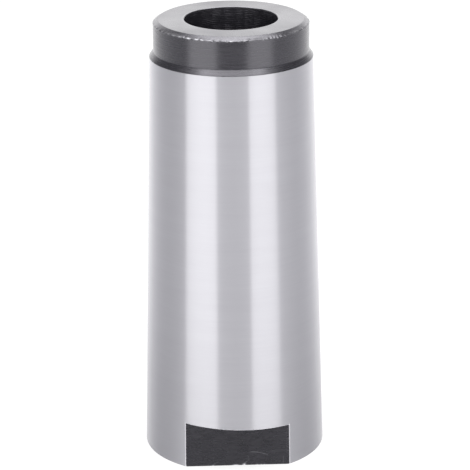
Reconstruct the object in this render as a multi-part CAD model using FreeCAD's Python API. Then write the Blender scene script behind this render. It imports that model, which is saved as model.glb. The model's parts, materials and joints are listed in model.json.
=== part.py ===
"""Open-ended Morse taper sleeve: a No. 5 taper outside and a No. 3 socket inside, turned from one bar.

Row frame, in millimetres: the origin is the centre of the big-end face, and +Z runs along the axis
towards the small end. The sleeve stands on its big end.
"""

import FreeCAD
import Part

import math
import os

# Ground outside taper, Morse No. 5.
SHANK_GAUGE_DIAMETER = 44.399
SHANK_LENGTH_PER_DIAMETER = 19.002  # length in which the diameter falls by one
SHANK_GAUGE_INSET = 6.5  # from the big-end face up to the gauge plane
BIG_END_EDGE_RADIUS = 0.2

# Ground socket, Morse No. 3. Its gauge plane is the big-end face.
SOCKET_GAUGE_DIAMETER = 23.825
SOCKET_LENGTH_PER_DIAMETER = 19.922
SOCKET_DEPTH = 84.0
SOCKET_MOUTH_CHAMFER = 1.0

# Blackened neck at the small end, turned below the taper and not ground.
OVERALL_LENGTH = 109.0
GROUND_LENGTH = 100.0  # from the big-end face up to the shoulder
SHOULDER_RISE = 1.4  # height of the cone from the ground taper in to the collar
SHOULDER_FILLET = 0.4
COLLAR_DIAMETER = 37.5
COLLAR_CHAMFER_WIDTH = 1.3
COLLAR_CHAMFER_HEIGHT = 0.8

# Clearance bore at the small end, which a drawbar or a knock-out bar passes.
DRAWBAR_BORE_DIAMETER = 22.5
DRAWBAR_BORE_EDGE_BREAK = 0.25
DRILL_POINT_ANGLE = 118.0  # included angle of the step down to the socket

# Two spanner flats at the big end, milled before the taper was ground.
ACROSS_FLATS = 36.5  # at the big-end face
FLAT_HEIGHT = 11.0  # at the middle of the flat
FLAT_SHOULDER_SLOPE = 2.3  # degrees by which the flat's top edge runs out of square
FLAT_COUNT = 2

AXIS = FreeCAD.Vector(0, 0, 1)
ORIGIN = FreeCAD.Vector(0, 0, 0)


def shank_radius(height):
    """Radius of the outside taper at a height above the big-end face."""
    below_gauge = SHANK_GAUGE_INSET - height
    return (SHANK_GAUGE_DIAMETER + below_gauge / SHANK_LENGTH_PER_DIAMETER) / 2


def socket_radius(height):
    """Radius of the socket at a height above the big-end face."""
    return (SOCKET_GAUGE_DIAMETER - height / SOCKET_LENGTH_PER_DIAMETER) / 2


def point(radius, height):
    """A point of the turned section, in the XZ plane."""
    return FreeCAD.Vector(radius, 0, height)


def outside_corners():
    """Corners of the outside from the big-end face up to the small-end face, each with its fillet."""
    collar_radius = COLLAR_DIAMETER / 2
    return [
        (point(shank_radius(0), 0), BIG_END_EDGE_RADIUS),
        (point(shank_radius(GROUND_LENGTH), GROUND_LENGTH), 0),
        (point(collar_radius, GROUND_LENGTH + SHOULDER_RISE), SHOULDER_FILLET),
        (point(collar_radius, OVERALL_LENGTH - COLLAR_CHAMFER_HEIGHT), 0),
        (point(collar_radius - COLLAR_CHAMFER_WIDTH, OVERALL_LENGTH), 0),
    ]


def inside_corners():
    """Corners of the inside from the small-end face down to the big-end face, each with its fillet."""
    bore_radius = DRAWBAR_BORE_DIAMETER / 2
    step = bore_radius - socket_radius(SOCKET_DEPTH)
    step_height = step / math.tan(math.radians(DRILL_POINT_ANGLE / 2))
    mouth = SOCKET_MOUTH_CHAMFER
    return [
        (point(bore_radius + DRAWBAR_BORE_EDGE_BREAK, OVERALL_LENGTH), 0),
        (point(bore_radius, OVERALL_LENGTH - DRAWBAR_BORE_EDGE_BREAK), 0),
        (point(bore_radius, SOCKET_DEPTH + step_height), 0),
        (point(socket_radius(SOCKET_DEPTH), SOCKET_DEPTH), 0),
        (point(socket_radius(mouth), mouth), 0),
        (point(socket_radius(0) + mouth, 0), 0),
    ]


def closed_wire(corners):
    """Straight runs between the corners, with a tangent arc at each corner that has a fillet."""
    runs = []
    arcs = []
    for i, (corner, fillet) in enumerate(corners):
        if fillet == 0:
            runs.append((corner, corner))
            arcs.append(None)
            continue
        back = (corners[i - 1][0] - corner).normalize()
        ahead = (corners[(i + 1) % len(corners)][0] - corner).normalize()
        half_angle = back.getAngle(ahead) / 2
        start = corner + back * (fillet / math.tan(half_angle))
        end = corner + ahead * (fillet / math.tan(half_angle))
        inward = (back + ahead).normalize()
        middle = corner + inward * (fillet / math.sin(half_angle) - fillet)
        runs.append((start, end))
        arcs.append(Part.Arc(start, middle, end))
    edges = []
    for i, (start, end) in enumerate(runs):
        if arcs[i] is not None:
            edges.append(arcs[i].toShape())
        next_start = runs[(i + 1) % len(runs)][0]
        edges.append(Part.LineSegment(end, next_start).toShape())
    return Part.Wire(edges)


def turned_sleeve():
    """The section turned once round the axis."""
    section = Part.Face(closed_wire(outside_corners() + inside_corners()))
    return section.revolve(ORIGIN, AXIS, 360)


def flat_cutter():
    """The metal that the mill takes off the side that faces -Y.

    The cut is parallel to the side of the taper, because the blank is clamped on its taper. Its top
    edge runs a little out of square, and falls towards +X.
    """
    reach = shank_radius(0)
    block = Part.makeBox(4 * reach, 2 * reach, 4 * reach)
    block.translate(FreeCAD.Vector(-2 * reach, -2 * reach, -4 * reach))
    block.rotate(ORIGIN, FreeCAD.Vector(0, 1, 0), FLAT_SHOULDER_SLOPE)
    half_taper = math.degrees(math.atan(0.5 / SHANK_LENGTH_PER_DIAMETER))
    block.rotate(ORIGIN, FreeCAD.Vector(1, 0, 0), -half_taper)
    lean = FLAT_HEIGHT * math.tan(math.radians(half_taper))
    block.translate(FreeCAD.Vector(0, lean - ACROSS_FLATS / 2, FLAT_HEIGHT))
    return block


def sleeve():
    """The turned sleeve with its spanner flats."""
    body = turned_sleeve()
    for i in range(FLAT_COUNT):
        cutter = flat_cutter()
        cutter.rotate(ORIGIN, AXIS, i * 360 / FLAT_COUNT)
        body = body.cut(cutter)
    return body.removeSplitter()


def main():
    os.makedirs("parts", exist_ok=True)
    body = sleeve()
    solid = body.Solids[0]
    solid.exportStep("parts/sleeve.step")
    box = solid.optimalBoundingBox()
    print(f"sleeve: {len(body.Solids)} solid, valid {solid.isValid()}, volume {solid.Volume:.0f} mm3")
    print(f"box {box.XLength:.2f} x {box.YLength:.2f} x {box.ZLength:.2f} mm, {len(solid.Faces)} faces")


main()
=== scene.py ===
# %% Load the frame
import json
import math

import bpy
import numpy as np
from mathutils import Matrix, Vector


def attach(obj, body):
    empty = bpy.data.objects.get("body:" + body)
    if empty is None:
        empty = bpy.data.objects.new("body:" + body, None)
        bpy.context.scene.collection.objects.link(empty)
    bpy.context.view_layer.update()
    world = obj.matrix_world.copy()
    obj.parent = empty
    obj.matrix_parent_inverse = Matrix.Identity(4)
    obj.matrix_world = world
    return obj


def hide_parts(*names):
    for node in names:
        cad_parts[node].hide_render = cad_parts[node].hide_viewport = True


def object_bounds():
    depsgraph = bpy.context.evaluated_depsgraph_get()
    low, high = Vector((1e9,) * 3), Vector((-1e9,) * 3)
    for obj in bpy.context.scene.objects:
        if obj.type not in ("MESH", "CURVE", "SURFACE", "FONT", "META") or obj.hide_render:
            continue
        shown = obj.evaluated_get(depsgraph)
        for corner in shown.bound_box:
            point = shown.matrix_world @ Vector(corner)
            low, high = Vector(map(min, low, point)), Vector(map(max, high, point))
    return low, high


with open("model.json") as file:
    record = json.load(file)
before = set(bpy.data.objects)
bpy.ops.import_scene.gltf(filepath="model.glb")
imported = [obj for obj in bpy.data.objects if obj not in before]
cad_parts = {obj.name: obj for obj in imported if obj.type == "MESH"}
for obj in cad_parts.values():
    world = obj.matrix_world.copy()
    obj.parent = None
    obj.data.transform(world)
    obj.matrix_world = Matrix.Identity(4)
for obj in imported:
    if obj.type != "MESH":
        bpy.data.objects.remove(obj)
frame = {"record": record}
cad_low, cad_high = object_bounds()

MM = 0.001
scene = bpy.context.scene
mounts = {mount["name"]: mount for mount in frame["record"]["mounts"]}
print("CAD box in mm:", [round(v / MM, 2) for v in (*cad_low, *cad_high)])

# %% [markdown]
# # A ground taper sleeve with a blackened neck
# This lesson dresses one turned piece: a sleeve whose outside is a slow taper, ground bright, while its
# neck, its spanner flats and its bore keep the black skin of heat treatment.
#
# The real sleeve is turned from one bar, so here it is one closed skin. A section runs up the outside, over
# the small end, down through the bore and back to its start, and it is carried once round the axis. A Screw
# modifier could do that, but not the two milled flats. Worked out with numpy, each point of the section can
# also know which side of the sleeve it is on.
#
# The driving sizes come from the frame where it holds them. The others are the sizes of such a sleeve,
# written once, in millimetres.

# %% Sizes of the sleeve
LENGTH = cad_high.z / MM
BIG_RADIUS = min(-cad_low.x, cad_high.x) / MM
TAPER = 1 / 19.002  # the diameter falls by one in this length
GROUND_LENGTH = 100.0
SHOULDER_RISE = 1.4
SHOULDER_FILLET = 0.4
COLLAR_RADIUS = 18.75
CHAMFER_WIDTH = 1.3
CHAMFER_HEIGHT = 0.8
FOOT_EDGE_RADIUS = 0.2

BORE_RADIUS = mounts["drawbar_bore"]["dims"]["r_mm"]
BORE_EDGE_BREAK = 0.12
SOCKET_RADIUS = 23.825 / 2
SOCKET_TAPER = 1 / 19.922
SOCKET_DEPTH = 84.0
SOCKET_MOUTH_CHAMFER = 1.0
STEP_HEIGHT = 0.87

flat_point = np.array(mounts["spanner_flat_front"]["pos_m"]) / MM
flat_normal = np.array(mounts["spanner_flat_front"]["axis"])
FLAT_LEAN = -flat_normal[2] / flat_normal[1]  # how far the flat comes in for each millimetre up
FLAT_DISTANCE = -flat_point[1] + flat_point[2] * FLAT_LEAN  # from the axis, at the big-end face
FLAT_HEIGHT = 11.0
FLAT_SLOPE = math.tan(math.radians(2.3))  # fall of the flat's top edge, from left to right
BURR = 0.12  # width of the narrow edge that grinding leaves round a flat
print(f"big end {2 * BIG_RADIUS:.2f} mm, bore {2 * BORE_RADIUS:.2f} mm")
print(f"across the flats {2 * FLAT_DISTANCE:.2f} mm at the big end")


# %% [markdown]
# ## The section
# Turned corners are never quite sharp, and a corner with a small radius is what catches the light. So the
# section is a chain of straight runs with an arc at each corner. Each run says how many rows of the mesh it
# gets and which finish it has, because the sleeve changes from ground to black exactly at a corner.

# %% Straight runs and arcs
def arc_rows(before, corner, after, radius, turn_per_row=8.0):
    """Points of the arc that is tangent to both runs at a corner.

    Its ends lie radius times the tangent of half the turn from the corner, and its centre lies radius over
    the cosine of half the turn from it, on the line that halves the corner. The points are the centre plus
    the radius, swung evenly from one end to the other.
    """
    back = (before - corner) / np.linalg.norm(before - corner)
    ahead = (after - corner) / np.linalg.norm(after - corner)
    turn = math.pi - math.acos(np.clip(back @ ahead, -1, 1))
    inward = (back + ahead) / np.linalg.norm(back + ahead)
    centre = corner + inward * radius / math.cos(turn / 2)
    start = corner + back * radius * math.tan(turn / 2)
    side = math.copysign(1, -back[0] * ahead[1] + back[1] * ahead[0])
    rows = max(2, math.ceil(math.degrees(turn) / turn_per_row))
    swing = np.linspace(0, side * turn, rows + 1)
    spoke = start - centre
    x = centre[0] + spoke[0] * np.cos(swing) - spoke[1] * np.sin(swing)
    z = centre[1] + spoke[0] * np.sin(swing) + spoke[1] * np.cos(swing)
    return np.stack([x, z], 1)


def section(corners):
    """Radius, height and run number of each row of an open chain of runs.

    corners holds radius, height, arc radius and the number of rows in the run that starts there. Points of
    a run are evenly spaced from the end of one arc to the start of the next.
    """
    places = np.array([c[:2] for c in corners], float)
    ends = []
    for i in range(len(corners)):
        if corners[i][2] > 0:
            ends.append(arc_rows(places[i - 1], places[i], places[i + 1], corners[i][2]))
        else:
            ends.append(places[i][None])
    points = []
    runs = []
    for i in range(len(corners) - 1):
        share = np.linspace(0, 1, corners[i][3] + 1)[:, None]
        straight = ends[i][-1] + share * (ends[i + 1][0] - ends[i][-1])
        points += [ends[i][:-1], straight[:-1]]
        runs += [np.full(len(ends[i]) - 1, i), np.full(corners[i][3], i)]
    points = np.concatenate([*points, places[-1][None]])
    return points[:, 0], points[:, 1], np.concatenate(runs)


# %% The section's corners
GROUND, TURNED, MILLED, BORED, REAMED = range(5)


def taper_radius(height):
    """Radius of the outside taper: the big end's radius less half the taper times the height."""
    return BIG_RADIUS - height * TAPER / 2


def socket_radius(height):
    """Radius of the socket: its mouth's radius less half its taper times the height."""
    return SOCKET_RADIUS - height * SOCKET_TAPER / 2


def outside_point(height):
    """The taper's place in the section, as radius and height."""
    return np.array([taper_radius(height), height])


TURNED_CORNER = 0.10  # radius of a corner as the lathe leaves it
RAGGED_CORNER = 0.12
RAGGED_BAND = 0.6  # height under the chamfer that gets fine rows
MARKED_BORE = 7.0  # depth of the bore that can be seen into, which gets fine rows
foot_start = np.array([socket_radius(0) + SOCKET_MOUTH_CHAMFER, 0.0])
half_way = outside_point(GROUND_LENGTH / 2)
foot_edge = arc_rows(foot_start, outside_point(0.0), half_way, FOOT_EDGE_RADIUS)
CORNERS = [
    # radius, height, arc radius, rows in the run that starts here, finish of that run
    (*half_way, 0, 1, GROUND),
    (*outside_point(GROUND_LENGTH), TURNED_CORNER, 8, TURNED),
    (COLLAR_RADIUS, GROUND_LENGTH + SHOULDER_RISE, SHOULDER_FILLET, 12, TURNED),
    (COLLAR_RADIUS, LENGTH - CHAMFER_HEIGHT - RAGGED_BAND, 0, 4, TURNED),
    (COLLAR_RADIUS, LENGTH - CHAMFER_HEIGHT, RAGGED_CORNER, 6, TURNED),
    (COLLAR_RADIUS - CHAMFER_WIDTH, LENGTH, TURNED_CORNER, 10, TURNED),
    (BORE_RADIUS + BORE_EDGE_BREAK, LENGTH, 0, 2, TURNED),
    (BORE_RADIUS, LENGTH - BORE_EDGE_BREAK, 0, 60, BORED),
    (BORE_RADIUS, LENGTH - BORE_EDGE_BREAK - MARKED_BORE, 0, 8, BORED),
    (BORE_RADIUS, SOCKET_DEPTH + STEP_HEIGHT, 0, 2, BORED),
    (socket_radius(SOCKET_DEPTH), SOCKET_DEPTH, 0, 8, REAMED),
    (socket_radius(SOCKET_MOUTH_CHAMFER), SOCKET_MOUTH_CHAMFER, 0, 2, TURNED),
    (*foot_start, 0, 0, TURNED),
]
chain_r, chain_z, chain_run = section([corner[:4] for corner in CORNERS])
chain_finish = np.array([corner[4] for corner in CORNERS])[chain_run]
print(f"above the taper the section has {len(chain_r)} rows in {len(CORNERS) - 1} runs")

# %% [markdown]
# ## The grid, and how the flats cut it
# The skin is a grid: rows follow the section and columns go round the axis. A plain grid would cross the
# corners of a flat in steps. So the columns near a flat are drawn along its corners instead. At each height
# the flat is a chord of the turned circle, and its half width is the root of the circle's radius squared less
# the chord's distance squared. The rows below the flat's top edge end on that edge, which slopes a little,
# and two more rows make the ledge where the cutter stopped.
#
# Half a turn holds one flat and one side, and the other half is the same, turned by 180 degrees.

# %% Columns, and the edge of the flat
FLAT_COLUMNS = 120
SIDE_COLUMNS = 92
LOWER_ROWS = 44
UPPER_ROWS = 14
FOOT_ROWS = 4

# across runs from -1 to 1 over the flat's columns, and along from 0 to 1 over the side's
across = np.concatenate([np.linspace(-1, 1, FLAT_COLUMNS + 1), np.ones(SIDE_COLUMNS + 1)])
along = np.concatenate([np.zeros(FLAT_COLUMNS + 1), np.linspace(0, 1, SIDE_COLUMNS + 1)])
on_flat = np.arange(len(across)) <= FLAT_COLUMNS


def flat_distance(height):
    """Distance of the flat from the axis: it comes in by its lean for each millimetre up."""
    return FLAT_DISTANCE - FLAT_LEAN * height


def half_width(radius, height):
    """Half the chord that the flat cuts from a circle: root of radius squared less distance squared."""
    return np.sqrt(radius**2 - flat_distance(height) ** 2)


corner_x = half_width(taper_radius(FLAT_HEIGHT), FLAT_HEIGHT)
edge_height = FLAT_HEIGHT - FLAT_SLOPE * corner_x * np.where(on_flat, across, 1 - 2 * along)
edge_radius = taper_radius(edge_height)
edge_corner = half_width(edge_radius, edge_height)
print(f"the flat's top edge is {edge_height[on_flat].min():.2f} to {edge_height[on_flat].max():.2f} mm up")


# %% Two kinds of row
def flat_x(corner):
    """Sideways place of each column on the flat: evenly spaced between the narrow edges at its corners."""
    return across * (corner - BURR)


def side_angle(radius, corner):
    """Angle of each column on the side: evenly spaced between the edges of this flat and of the next."""
    start = np.arcsin(corner / radius) + BURR / radius
    return start + along * (math.pi - 2 * start)


def round_row(radius, height):
    """A row on the turned surface, with its columns at their angles on the flat's top edge. Each point is
    the radius times the sine and the cosine of its angle."""
    on_round = np.arcsin(flat_x(edge_corner) / edge_radius)
    angle = np.where(on_flat, on_round, side_angle(edge_radius, edge_corner))
    radius, height = np.broadcast_arrays(radius, height, angle)[:2]
    return np.stack([radius * np.sin(angle), -radius * np.cos(angle), height], -1)


def cut_row(radius, height):
    """A row below the flat's top edge: on the flat's plane across the flat, and on the turned circle
    elsewhere."""
    corner = half_width(radius, height)
    angle = side_angle(radius, corner)
    x = np.where(on_flat, flat_x(corner), radius * np.sin(angle))
    y = np.where(on_flat, -flat_distance(height), -radius * np.cos(angle))
    return np.stack([x, y, np.broadcast_to(height, x.shape)], -1)


# %% Rows from the foot to the flat's top edge
foot_rim = cut_row(*foot_edge[0])
foot_ring = round_row(*foot_start)
foot_share = np.linspace(0, 1, FOOT_ROWS + 1)[:-1, None, None]
foot = foot_ring + foot_share * (foot_rim - foot_ring)
edge = np.stack([cut_row(radius, height) for radius, height in foot_edge])
lower_share = np.linspace(0, 1, LOWER_ROWS + 1)[1:, None]
lower_height = foot_edge[-1, 1] + lower_share * (edge_height - foot_edge[-1, 1])
lower = cut_row(taper_radius(lower_height), lower_height)
print(f"{len(foot)} rows under the foot, {len(edge)} round its edge and {len(lower)} beside the flat")

# %% The ledge and the rows above it
rim_y = np.sqrt(edge_radius**2 - flat_x(edge_corner) ** 2)
lift = np.where(on_flat, (rim_y - flat_distance(edge_height)) * FLAT_LEAN, 0)
ledge = lower[-1].copy()
ledge_y = -np.maximum(rim_y - BURR, flat_distance(edge_height))
ledge[:, 1] = np.where(on_flat, ledge_y, ledge[:, 1])
ledge[:, 2] = edge_height + lift
above_height = edge_height + lift + BURR
above = round_row(taper_radius(above_height), above_height)

upper_share = np.linspace(0, 1, UPPER_ROWS + 1)[1:-1, None]
upper_height = above_height + upper_share * (chain_z[1] - above_height)
upper = round_row(taper_radius(upper_height), upper_height)
chain = round_row(chain_r[1:-1, None], chain_z[1:-1, None])

# %% The whole grid
half = np.concatenate([foot, edge, lower, ledge[None], above[None], upper, chain])
grid = np.concatenate([half, half * [-1, -1, 1]], 1)
row_finish = np.concatenate([
    np.full(FOOT_ROWS + len(edge) - 1, TURNED),
    np.full(LOWER_ROWS, GROUND),
    [MILLED],
    np.full(UPPER_ROWS + 1, GROUND),
    chain_finish[1:],
])
print(f"grid of {grid.shape[0]} rows and {grid.shape[1]} columns, {len(row_finish)} row finishes")

# %% [markdown]
# ## Marks that the tools left
# Three marks on this sleeve are shape, and not only finish. The bore was cut with a boring bar, whose tip
# leaves a screw of shallow grooves. The chamfer was turned last, over a hard skin, so its lower edge is
# ragged and has a fine burr. And the foot of the front flat has been knocked.
#
# Each is a displacement worked out for the whole grid from two parameters, the angle round the axis and the
# height. Raggedness is a sum of cosines whose waves fit a whole number of times round the sleeve, so it
# closes on itself with no seam.

# %% Raggedness round the axis
angle = np.arctan2(grid[..., 0], -grid[..., 1])
radius = np.hypot(grid[..., 0], grid[..., 1])
height = grid[..., 2]


def ragged(theta, low, high, seed):
    """Uneven wave round the axis: a sum of cosines with low to high waves in a turn and random phases,
    scaled so that its usual size is 1."""
    random = np.random.default_rng(seed)
    waves = np.arange(low, high)
    phase = random.uniform(0, 2 * math.pi, len(waves))
    weight = random.uniform(0.4, 1, len(waves))
    total = np.zeros_like(theta)
    for count, shift, size in zip(waves, phase, weight):
        total += size * np.cos(count * theta + shift)
    return total / math.sqrt((weight**2).sum() / 2)


def bump(value, centre, width):
    """Smooth hump: 1 at the centre, falling as a bell whose usual width is given."""
    return np.exp(-(((value - centre) / width) ** 2))


# %% Boring marks
BORING_PITCH = 0.45
BORING_DEPTH = 0.014
BORING_RUN_OUT = 0.4  # height in which the grooves grow from nothing at the mouth
bore_top = LENGTH - BORE_EDGE_BREAK
in_bore = (radius < BORE_RADIUS + 0.01) & (height > bore_top - MARKED_BORE - 0.01)
# the screw is a cosine of height and angle, and its place and its depth wander a little
wander = 0.9 * ragged(angle, 2, 9, 1) * np.sin(height * 0.9)
wander += 0.5 * ragged(angle, 9, 30, 2) * np.cos(height * 1.7)
screw = np.cos(2 * math.pi * (height / BORING_PITCH) + angle + wander)
strength = 1 + 0.45 * ragged(angle, 3, 24, 3) * np.cos(1.3 * height + 1)
strength += 0.3 * ragged(angle, 20, 60, 4)
run_out = np.clip((bore_top - height) / BORING_RUN_OUT, 0, 1)
groove = in_bore * run_out * BORING_DEPTH * screw * np.clip(strength, 0, 2)
print(f"boring marks: {groove.min():.3f} to {groove.max():.3f} mm")

# %% Ragged edge of the chamfer
CHIPS = (
    # degrees from the front, half width in degrees, depth in millimetres
    (-15.5, 1.0, 0.22), (-11.0, 0.6, 0.10), (-5.0, 0.7, 0.12), (1.0, 0.8, 0.10),
    (7.0, 0.6, 0.12), (-38.0, 0.8, 0.10), (97.0, 1.3, 0.2), (-141.0, 1.0, 0.15),
)
edge_line = LENGTH - CHAMFER_HEIGHT
on_collar = (radius > COLLAR_RADIUS - 0.5) & (height > edge_line - 3)
near_edge = on_collar * bump(height, edge_line, 0.22)
drop = 0.05 * ragged(angle, 3, 14, 5) + 0.025 * ragged(angle, 40, 150, 6)
chips = sum(depth * bump(np.degrees(angle), place, width) for place, width, depth in CHIPS)
burr_out = 0.03 * np.clip(ragged(angle, 30, 110, 7) + 0.6, 0, 2)
cut_back = near_edge * (chips * 0.6 - burr_out)
print(f"the chamfer's edge drops by up to {(near_edge * (drop + chips)).max():.2f} mm")

# %% Knocked foot
KNOCKS = (
    # sideways place, half width, depth and height in millimetres
    (-6.1, 0.20, 0.06, 0.15), (-0.5, 0.7, 0.07, 0.14), (1.6, 0.35, 0.12, 0.30), (4.8, 0.15, 0.06, 0.18),
    (5.8, 0.12, 0.06, 0.18), (6.6, 0.12, 0.05, 0.16),
)
in_front = (grid[..., 1] < 0) & (radius > FLAT_DISTANCE - 1.0)
knock = in_front * sum(
    depth * bump(grid[..., 0], place, width) * bump(height, 0, tall)
    for place, width, depth, tall in KNOCKS
)
print(f"knocks go in by up to {knock.max():.2f} mm")

# %% Move the skin
out = np.stack([np.sin(angle), -np.cos(angle), np.zeros_like(angle)], -1)
up = np.array([0.0, 0.0, 1.0])
moved_out = (groove - cut_back - knock)[..., None]
moved_down = (near_edge * (drop + chips))[..., None]
skin = grid + out * moved_out - up * moved_down
print(f"marks move the skin by up to {np.abs(skin - grid).max():.2f} mm")

# %% Where the black skin is worn off
# The worn share is highest on the burr of the chamfer, which is strongest at the front and to its left.
turn_degrees = np.degrees(angle)
burr_there = bump(turn_degrees, -36, 17) + 0.5 * bump(turn_degrees, 1, 12) + 0.12
on_edge = on_collar * bump(height, edge_line, 0.10)
worn_edge = on_edge * burr_there * np.clip(0.45 + 0.35 * ragged(angle, 20, 90, 8) + 2 * chips, 0, 1)
worn_foot = 0.6 * np.clip(knock / 0.06, 0, 1)
near_mouth = bump(radius, BORE_RADIUS + BORE_EDGE_BREAK, 0.10) * (height > LENGTH - 0.3)
worn_mouth = 0.12 * near_mouth
worn = np.clip(np.maximum(np.maximum(worn_edge, worn_foot), worn_mouth), 0, 1)
print(f"worn share: {worn.mean():.4f} of all points, {worn.max():.2f} at most")

# %% [markdown]
# ## One mesh from the grid
# Away from the flats, the rows of the ledge fall on each other. Points that coincide are made one, and a face
# that has lost a corner is kept as a triangle, or dropped where nothing of it is left. What remains is one
# closed skin. It also carries a UV map, in which one unit across is one turn round the axis and one unit up
# is 100 mm of section, and the worn share of each point.

# %% Finish of each face
rows, columns = grid.shape[:2]
flat_cells = np.zeros(columns, bool)
flat_cells[:FLAT_COLUMNS] = True
flat_cells[columns // 2: columns // 2 + FLAT_COLUMNS] = True
narrow_cells = np.zeros(columns, bool)
for start in (0, columns // 2):
    narrow_cells[[start + FLAT_COLUMNS, start + columns // 2 - 1]] = True

finish = np.repeat(row_finish[:, None], columns, 1)
foot_rows = slice(FOOT_ROWS, FOOT_ROWS + len(edge) - 1 + LOWER_ROWS)
finish[foot_rows] = np.where(flat_cells, MILLED, finish[foot_rows])
finish[foot_rows] = np.where(narrow_cells, GROUND, finish[foot_rows])
print("faces of each finish:", np.bincount(finish.ravel()).tolist())

# %% Corners of each face
row, column = np.meshgrid(np.arange(rows), np.arange(columns), indexing="ij")
next_row = (row + 1) % rows
next_column = (column + 1) % columns
corner_rows = np.stack([row, row, next_row, next_row], -1).reshape(-1, 4)
corner_columns = np.stack([column, next_column, next_column, column], -1).reshape(-1, 4)

places = np.round(skin.reshape(-1, 3), 5)
unique, first, merged = np.unique(places, axis=0, return_index=True, return_inverse=True)
merged = merged.reshape(-1)
corners = merged[corner_rows * columns + corner_columns]
kept = corners != np.roll(corners, -1, 1)
faces_kept = kept.sum(1) >= 3
kept &= faces_kept[:, None]
loops = corners[kept]
sides = kept.sum(1)[faces_kept]
print(f"{len(unique)} points, {len(sides)} faces, {int((sides - 2).sum())} triangles")

# %% UV map
UV_UNIT = 100.0  # millimetres of section
turn = np.linspace(0, 1, columns + 1)
beside = FLAT_COLUMNS + SIDE_COLUMNS // 2  # a column that no flat cuts
step = np.linalg.norm(np.diff(skin[:, beside], axis=0, append=skin[:1, beside]), axis=1)
travel = np.concatenate([[0], np.cumsum(step)]) / UV_UNIT
corner_u = np.stack([turn[column], turn[column + 1], turn[column + 1], turn[column]], -1).reshape(-1, 4)
corner_v = np.stack([travel[row], travel[row], travel[row + 1], travel[row + 1]], -1).reshape(-1, 4)
uv = np.stack([corner_u[kept], corner_v[kept]], 1)
print(f"the section is {travel[-1] * UV_UNIT:.1f} mm long")

# %% The mesh and its object
SHARP_TURN = math.radians(12)  # faces that meet at more than this keep a sharp edge
mesh = bpy.data.meshes.new("taper_sleeve")
mesh.vertices.add(len(unique))
mesh.vertices.foreach_set("co", (unique * MM).ravel())
mesh.loops.add(len(loops))
mesh.loops.foreach_set("vertex_index", loops)
mesh.polygons.add(len(sides))
mesh.polygons.foreach_set("loop_start", np.cumsum(sides) - sides)
mesh.polygons.foreach_set("material_index", finish.ravel()[faces_kept])
mesh.uv_layers.new(name="round_and_along").data.foreach_set("uv", uv.ravel())
mesh.attributes.new("worn", "FLOAT", "POINT").data.foreach_set("value", worn.ravel()[first])
mesh.update(calc_edges=True)
mesh.shade_smooth()
mesh.set_sharp_from_angle(angle=SHARP_TURN)
print("mesh needed repair:", mesh.validate())
sleeve = bpy.data.objects.new("taper_sleeve", mesh)
scene.collection.objects.link(sleeve)
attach(sleeve, "root")
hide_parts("sleeve")
print("0 for a closed ring:", len(mesh.vertices) - len(mesh.edges) + len(mesh.polygons))

# %% [markdown]
# ## Finishes
# Steel of this kind has two faces. Where the grinding wheel has passed it is bare and bright: a metal, whose
# colour is the colour of its reflection. Everywhere else it keeps the magnetite skin that hardening and
# blackening leave, which is nearly black in itself and shines like a dark stone, weakly when looked at
# squarely and strongly at a grazing angle.
#
# Colours are written as sRGB hex values, and one function turns them to the linear values that shaders use.

# %% Colours and nodes
def linear(hex_colour):
    """Linear RGBA of an sRGB hex colour: the low end is a straight line and the rest a power of 2.4."""
    value = np.array([int(hex_colour[i: i + 2], 16) for i in (1, 3, 5)]) / 255
    value = np.where(value <= 0.04045, value / 12.92, ((value + 0.055) / 1.055) ** 2.4)
    return (*value.tolist(), 1.0)


def add(tree, kind, inputs=None, **settings):
    """Adds one node, sets its settings, and gives each named input a value or a link."""
    new = tree.nodes.new(kind)
    for name, value in settings.items():
        setattr(new, name, value)
    for name, value in (inputs or {}).items():
        if isinstance(value, bpy.types.NodeSocket):
            tree.links.new(value, new.inputs[name])
        else:
            new.inputs[name].default_value = value
    return new


def new_material(name):
    """An empty node material, its tree and its output node."""
    material = bpy.data.materials.new(name)
    material.use_nodes = True
    material.node_tree.nodes.clear()
    output = material.node_tree.nodes.new("ShaderNodeOutputMaterial")
    return material, material.node_tree, output


# %% Patterns
def streaks(tree, length, width, detail=3.0, seed=0.0):
    """Noise drawn out across the axis, as tool marks are: length is its grain across and width its grain
    along the axis, in millimetres."""
    place = add(tree, "ShaderNodeTexCoord").outputs["Object"]
    size = (1 / (length * MM), 1 / (length * MM), 1 / (width * MM))
    shift = (seed, seed, seed)
    mapped = add(tree, "ShaderNodeMapping", {"Vector": place, "Scale": size, "Location": shift}).outputs[0]
    noise = add(tree, "ShaderNodeTexNoise", {"Vector": mapped, "Scale": 1.0, "Detail": detail})
    return noise.outputs["Fac"]


def spread(tree, factor, low, high, start=0.25, end=0.75):
    """Turns a noise value into one between low and high."""
    inputs = {"Value": factor, "From Min": start, "From Max": end, "To Min": low, "To Max": high}
    return add(tree, "ShaderNodeMapRange", inputs).outputs[0]


def blend_colour(tree, factor, first, second):
    """Mixes two colours by a factor."""
    mixed = add(tree, "ShaderNodeMix", data_type="RGBA")
    for index, value in ((0, factor), (6, first), (7, second)):
        if isinstance(value, bpy.types.NodeSocket):
            tree.links.new(value, mixed.inputs[index])
        else:
            mixed.inputs[index].default_value = value
    return mixed.outputs[2]


# %% [markdown]
# ### Ground tool steel
# The taper is hardened tool steel, ground on a cylindrical grinder. The wheel leaves scratches that run round
# the sleeve, a few hundredths of a millimetre apart, so a reflection stays sharp round the sleeve and smears
# along it. Anisotropy does that: the shader's own tangent runs round the axis, and a quarter turn puts the
# smear along it.
#
# Two shaders are mixed. The sharp one is the smooth metal between the scratches, and gives the bands of light
# their crisp sides. The wide one is the deepest scratches, which throw light far up and down, so that the
# dark bands are never darker than pale grey. The scratches are drawn as coarse as 0.3 mm, because finer ones
# would not show.

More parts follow.
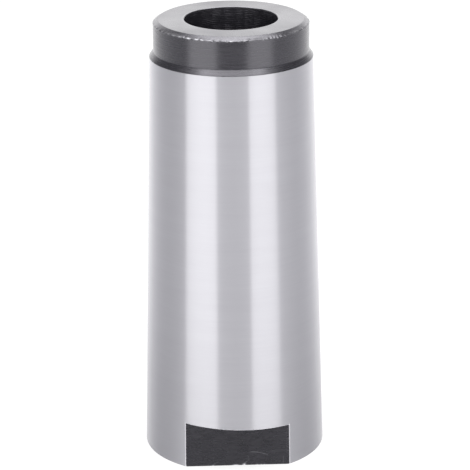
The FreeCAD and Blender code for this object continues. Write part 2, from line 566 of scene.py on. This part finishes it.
# %% Ground tool steel
def ground_steel(name, colour, roughness, scatter):
    """Bare ground steel, with scratches round the axis. scatter is the share of the light that the deepest
    scratches throw wide."""
    material, tree, output = new_material(name)
    fine = streaks(tree, 9.0, 0.30)
    broad = streaks(tree, 30.0, 2.5, detail=2.0, seed=7.0)
    tones = {0: spread(tree, fine, 0.985, 1.01), 1: spread(tree, broad, 0.985, 1.01)}
    tone = add(tree, "ShaderNodeMath", tones, operation="MULTIPLY").outputs[0]
    tinted = add(tree, "ShaderNodeVectorMath", {0: linear(colour)[:3], 3: tone}, operation="SCALE")
    relief = add(tree, "ShaderNodeBump", {"Height": fine, "Strength": 0.03, "Distance": 0.02 * MM})
    common = {
        "Base Color": tinted.outputs[0],
        "Metallic": 1.0,
        "Anisotropic Rotation": 0.25,
        "Normal": relief.outputs[0],
    }
    uneven = spread(tree, fine, roughness - 0.015, roughness + 0.015)
    sharp = add(tree, "ShaderNodeBsdfPrincipled", common | {"Roughness": uneven, "Anisotropic": 0.9})
    wide = add(tree, "ShaderNodeBsdfPrincipled", common | {"Roughness": 0.60, "Anisotropic": 0.8})
    mixed = add(tree, "ShaderNodeMixShader", {0: scatter, 1: sharp.outputs[0], 2: wide.outputs[0]})
    tree.links.new(mixed.outputs[0], output.inputs[0])
    return material


# %% [markdown]
# ### Blackened steel
# Solid magnetite has an index of about 2.4. This skin of it is porous and oiled, and acts like one of about
# 2, which gives an eighth of the light back when it is looked at squarely and nearly all of it at a grazing
# angle. That is why the ring at the small end looks pale grey from the side.
#
# One function makes the three black finishes, because they differ only in their tool marks. Where the skin is
# knocked off, the steel below shows: the mesh carries that as an attribute. A scratch is worn too, and is
# found by its distance from a line between two points.

# %% Scratches
def scratch(tree, worn, start, end, width, depth):
    """Adds a straight scratch to a worn value: the distance from the line between two points, in millimetres,
    turned into a soft-edged stroke."""
    place = add(tree, "ShaderNodeTexCoord").outputs["Object"]
    run = (Vector(end) - Vector(start)) * MM
    from_start = add(tree, "ShaderNodeVectorMath", {0: place, 1: Vector(start) * MM},
                     operation="SUBTRACT").outputs[0]
    reach = add(tree, "ShaderNodeVectorMath", {0: from_start, 1: run / run.length_squared},
                operation="DOT_PRODUCT").outputs["Value"]
    share = add(tree, "ShaderNodeClamp", {"Value": reach}).outputs[0]
    nearest = add(tree, "ShaderNodeVectorMath", {0: run, 3: share}, operation="SCALE").outputs[0]
    apart = add(tree, "ShaderNodeVectorMath", {0: from_start, 1: nearest},
                operation="DISTANCE").outputs["Value"]
    stroke = spread(tree, apart, depth, 0.0, 0.3 * width * MM, width * MM)
    return add(tree, "ShaderNodeMath", {0: worn, 1: stroke}, operation="MAXIMUM").outputs[0]


# %% Blackened steel
BLACK_SKIN = {"IOR": 2.05, "Specular Tint": (0.95, 0.93, 1.0, 1.0)}


def black_steel(name, roughness, anisotropy, marks, relief_depth, scratches=()):
    """Steel with a magnetite skin. marks are the length and width of its tool marks in millimetres, and
    scratches are lines where the skin is scraped thin."""
    material, tree, output = new_material(name)
    fine = streaks(tree, *marks)
    cloud = streaks(tree, 5.0, 4.0, detail=2.0, seed=3.0)
    worn = add(tree, "ShaderNodeAttribute", attribute_name="worn").outputs["Fac"]
    for start, end, width, depth in scratches:
        worn = scratch(tree, worn, start, end, width, depth)
    skin = blend_colour(tree, spread(tree, cloud, 0.0, 1.0), linear("#17161B"), linear("#1E1D23"))
    relief = add(tree, "ShaderNodeBump", {"Height": fine, "Strength": 0.3, "Distance": relief_depth * MM})
    shader = add(tree, "ShaderNodeBsdfPrincipled", BLACK_SKIN | {
        "Base Color": blend_colour(tree, worn, skin, linear("#C9C9CD")),
        "Metallic": worn,
        "Roughness": spread(tree, fine, roughness - 0.05, roughness + 0.07),
        "Anisotropic": anisotropy,
        "Anisotropic Rotation": 0.25,
        "Normal": relief.outputs[0],
    })
    tree.links.new(shader.outputs[0], output.inputs[0])
    return material


# %% Give each face its finish
def on_front_flat(x, z):
    """A point of the front flat."""
    return (x, -flat_distance(z), z)


SCRATCHES = [
    (on_front_flat(x, z), on_front_flat(x2, z2), width, depth)
    for x, z, x2, z2, width, depth in (
        # start, end, width in millimetres, and how much of the skin is gone
        (3.3, 3.5, 5.0, 3.4, 0.16, 0.22), (4.6, 3.5, 7.3, 2.7, 0.14, 0.16),
        (-6.0, 0.2, -5.5, 0.8, 0.12, 0.18), (-5.5, 0.8, -4.7, 1.0, 0.12, 0.10),
        (1.5, 0.2, 2.1, 0.9, 0.16, 0.35), (2.1, 0.9, 2.8, 1.2, 0.14, 0.14),
        (2.7, 1.2, 2.7, 2.3, 0.14, 0.07), (11.3, 2.1, 11.3, 0.4, 0.10, 0.13),
        (-9.9, 7.9, -8.9, 7.9, 0.30, 0.03), (8.0, 3.6, 9.2, 3.5, 0.35, 0.025),
        (9.6, 0.9, 10.6, 0.8, 0.2, 0.04), (12.2, 9.0, 12.2, 3.0, 0.10, 0.05),
    )
]
finishes = {
    GROUND: ground_steel("ground_tool_steel", "#D3D2D7", 0.24, 0.55),
    TURNED: black_steel("turned_steel_blackened", 0.27, 0.6, (7.0, 0.28), 0.02),
    MILLED: black_steel("milled_steel_blackened", 0.27, 0.0, (3.0, 0.5), 0.02, SCRATCHES),
    BORED: black_steel("bored_steel_blackened", 0.34, 0.3, (1.1, 0.25), 0.20),
    REAMED: ground_steel("reamed_tool_steel", "#C4C4C9", 0.34, 0.3),
}
for finish_number in sorted(finishes):
    mesh.materials.append(finishes[finish_number])
print("finishes:", [material.name for material in mesh.materials])

# %% [markdown]
# ## Light
# A polished cylinder shows little but its room. So the room is built as it is for bright metal: two tall
# softboxes, left and right of the camera, the dimmer room between and beside them, and one softbox overhead.
# The tall ones look the same from foot to neck, so the world's shader holds them, by the compass angle round
# the sleeve, and the one overhead is a lamp.
#
# The room has four layers. The low part is what upright walls reflect. The high part is what the end face
# and the chamfers reflect: it is bright on the far side, so that the end face is pale, and dim elsewhere.
# Above it is the ceiling. Far below is brightly lit paper, which is seen mostly in the deep scratches of the
# ground taper.
#
# Compass angle 0 is the side that the camera is on, and positive angles lie to its right. Heights in the room
# are the sine of the angle above the horizon.

# %% The room
CAMERA_SIDE = math.radians(-2.3)  # the camera stands a little to the left of the front flat
# compass angle in degrees, and brightness
LOW_ROOM = [
    (-180, 1.45), (-150, 1.40), (-118, 0.80), (-98, 0.62), (-66.5, 0.42),
    (-64.5, 1.50), (-22.5, 1.50), (-20, 0.39), (22.5, 0.39), (25, 1.42),
    (61, 1.42), (64.5, 0.56), (98, 0.68), (118, 0.86), (150, 1.40),
    (180, 1.45),
]
HIGH_ROOM = [
    (-180, 2.10), (-160, 2.00), (-142, 0.20), (-85, 0.20), (-60, 0.40),
    (60, 0.40), (85, 0.20), (142, 0.20), (160, 2.00), (180, 2.10),
]
SOFTBOX = 1.5
CEILING = 1.0
PAPER = 4.6
# heights at which one layer starts to give way to the next, and at which it has done so
LOW_TO_HIGH = (0.05, 0.30)
HIGH_TO_CEILING = (0.75, 0.90)
LOW_TO_PAPER = (-0.50, -0.75)
# a ramp holds colours up to 1, so they are written as shares of the brightest stop
BRIGHTEST = max(brightness for _, brightness in LOW_ROOM + HIGH_ROOM)
print(f"room of {len(LOW_ROOM) + len(HIGH_ROOM)} stops, brightest {BRIGHTEST}")


# %% Brightness by direction
def grey(brightness):
    """The colour that the background node's strength turns into this brightness. Dim parts of the room are a
    little blue, and the softboxes are neutral."""
    blue = 1.05 - 0.05 * min(brightness / SOFTBOX, 1)
    return (brightness / BRIGHTEST, brightness / BRIGHTEST, blue * brightness / BRIGHTEST, 1)


def compass_ramp(tree, share, stops):
    """Brightness by compass angle, where share is the angle as a part of the whole turn."""
    node = add(tree, "ShaderNodeValToRGB", {0: share})
    elements = node.color_ramp.elements
    while len(elements) < len(stops):
        elements.new(1.0)
    for element, (compass_angle, brightness) in zip(elements, stops):
        element.position = (compass_angle + 180) / 360
        element.color = grey(brightness)
    return node.outputs[0]


def fade(tree, value, start, end):
    """A smooth step from 0 to 1."""
    return add(tree, "ShaderNodeMapRange", {"Value": value, "From Min": start, "From Max": end},
               interpolation_type="SMOOTHSTEP").outputs[0]


def room_colour(tree):
    """The colour of the room in each direction, from its compass angle and its height."""
    direction = add(tree, "ShaderNodeTexCoord").outputs["Generated"]
    from_camera = add(tree, "ShaderNodeVectorRotate", {"Vector": direction, "Angle": -CAMERA_SIDE},
                      rotation_type="Z_AXIS").outputs[0]
    parts = add(tree, "ShaderNodeSeparateXYZ", {0: from_camera})
    ahead = add(tree, "ShaderNodeMath", {0: parts.outputs["Y"], 1: -1.0}, operation="MULTIPLY").outputs[0]
    compass = add(tree, "ShaderNodeMath", {0: parts.outputs["X"], 1: ahead}, operation="ARCTAN2").outputs[0]
    share = add(tree, "ShaderNodeMapRange",
                {"Value": compass, "From Min": -math.pi, "From Max": math.pi}).outputs[0]
    room_height = parts.outputs["Z"]
    low_part = compass_ramp(tree, share, LOW_ROOM)
    high_part = compass_ramp(tree, share, HIGH_ROOM)
    room = blend_colour(tree, fade(tree, room_height, *LOW_TO_HIGH), low_part, high_part)
    room = blend_colour(tree, fade(tree, room_height, *HIGH_TO_CEILING), room, grey(CEILING))
    return blend_colour(tree, fade(tree, room_height, *LOW_TO_PAPER), room, grey(PAPER))


# %% The world
def studio_world():
    """A world that lights the sleeve with the room, while the camera sees a plain white backdrop."""
    world = bpy.data.worlds.new("studio")
    world.use_nodes = True
    tree = world.node_tree
    tree.nodes.clear()
    room_light = add(tree, "ShaderNodeBackground", {"Color": room_colour(tree), "Strength": BRIGHTEST})
    backdrop = add(tree, "ShaderNodeBackground", {"Color": (1, 1, 1, 1), "Strength": 1.0})
    ray = add(tree, "ShaderNodeLightPath")
    direct = {0: ray.outputs["Is Camera Ray"], 1: ray.outputs["Is Transmission Ray"]}
    seen = add(tree, "ShaderNodeMath", direct, operation="MAXIMUM").outputs[0]
    both = add(tree, "ShaderNodeMixShader", {0: seen, 1: room_light.outputs[0], 2: backdrop.outputs[0]})
    add(tree, "ShaderNodeOutputWorld", {"Surface": both.outputs[0]})
    return world


scene.world = studio_world()
print("world nodes:", len(scene.world.node_tree.nodes))

# %% The softbox overhead
OVERHEAD_PLACE = (0, -0.16, 1.0)
OVERHEAD_SIZE = (1.40, 0.92)
OVERHEAD_BRIGHTNESS = 3.8
lamp = bpy.data.lights.new("softbox_overhead", "AREA")
lamp.shape = "RECTANGLE"
lamp.size, lamp.size_y = OVERHEAD_SIZE
# an area lamp of brightness 1 gives off pi watts for each square metre
lamp.energy = math.pi * OVERHEAD_SIZE[0] * OVERHEAD_SIZE[1] * OVERHEAD_BRIGHTNESS
overhead = bpy.data.objects.new("softbox_overhead", lamp)
overhead.location = OVERHEAD_PLACE
overhead.visible_camera = False
scene.collection.objects.link(overhead)
print(f"overhead softbox of {lamp.energy:.1f} W")

# %% [markdown]
# ## Floor and camera
# The floor is white paper. The camera sees it nearly as white as the backdrop, with only a faint shadow.
# Bright metal close to a floor shows mostly the room that is reflected in it, so for glossy rays this floor
# is clear, and only a little darker near the foot.

# %% White paper
PAPER_SHADOW = 0.2  # share of the real paper, with its shadow, in what the camera sees
PAPER_WHITE = 1.03  # a little over white, to make up for the dimmer share of real paper
FOOT_SHADE = 0.66
SHADE_REACH = 200 * MM


def white_paper():
    """Paper that is mostly plain white to the camera, and clear to glossy rays but shaded near the axis."""
    material, tree, output = new_material("white_paper")
    ray = add(tree, "ShaderNodeLightPath")
    lit = add(tree, "ShaderNodeBsdfDiffuse", {"Color": linear("#F4F4F4")})
    white = add(tree, "ShaderNodeEmission", {"Color": (1, 1, 1, 1), "Strength": PAPER_WHITE})
    share = add(tree, "ShaderNodeMath", {0: ray.outputs["Is Camera Ray"], 1: 1 - PAPER_SHADOW},
                operation="MULTIPLY").outputs[0]
    plain = add(tree, "ShaderNodeMixShader", {0: share, 1: lit.outputs[0], 2: white.outputs[0]})
    place = add(tree, "ShaderNodeTexCoord").outputs["Object"]
    away = add(tree, "ShaderNodeVectorMath", {0: place}, operation="LENGTH").outputs["Value"]
    shade = add(tree, "ShaderNodeMapRange", {
        "Value": away, "From Min": 0.0, "From Max": SHADE_REACH, "To Min": FOOT_SHADE, "To Max": 1.0,
    }, interpolation_type="SMOOTHSTEP").outputs[0]
    clear = add(tree, "ShaderNodeBsdfTransparent", {"Color": shade})
    through = add(tree, "ShaderNodeMixShader",
                  {0: ray.outputs["Is Glossy Ray"], 1: plain.outputs[0], 2: clear.outputs[0]})
    tree.links.new(through.outputs[0], output.inputs[0])
    return material


# %% The floor
FLOOR_SIZE = 6.0
FLOOR_GAP = 0.01 * MM  # keeps the floor off the sleeve's foot
floor_corners = np.array([(-1, -1), (1, -1), (1, 1), (-1, 1)]) * FLOOR_SIZE / 2
floor_mesh = bpy.data.meshes.new("paper_floor")
floor_mesh.from_pydata(np.c_[floor_corners, np.full(4, -FLOOR_GAP)].tolist(), [], [(0, 1, 2, 3)])
floor_mesh.materials.append(white_paper())
floor = bpy.data.objects.new("paper_floor", floor_mesh)
scene.collection.objects.link(floor)
print("floor of", FLOOR_SIZE, "m")

# %% The camera
CAMERA_PLACE = Vector((-21.7, -546.4, 248.65)) * MM
LOOK_DOWN = math.radians(19.60)
LOOK_RIGHT = math.radians(0.03) - CAMERA_SIDE  # back towards the axis, and a hair past it
ROLL = math.radians(-0.491)
FIELD_OF_VIEW = math.radians(11.418)
camera_data = bpy.data.cameras.new("camera")
camera_data.angle = FIELD_OF_VIEW
camera = bpy.data.objects.new("camera", camera_data)
turn_to_side = Matrix.Rotation(-LOOK_RIGHT, 4, "Z")
tip_down = Matrix.Rotation(math.pi / 2 - LOOK_DOWN, 4, "X")
rolled = Matrix.Rotation(ROLL, 4, "Z")
camera.matrix_world = Matrix.Translation(CAMERA_PLACE) @ turn_to_side @ tip_down @ rolled
camera_data.clip_start = 10 * MM
scene.collection.objects.link(camera)
scene.camera = camera
scene.view_settings.view_transform = "Standard"
print(f"lens {camera_data.lens:.1f} mm")
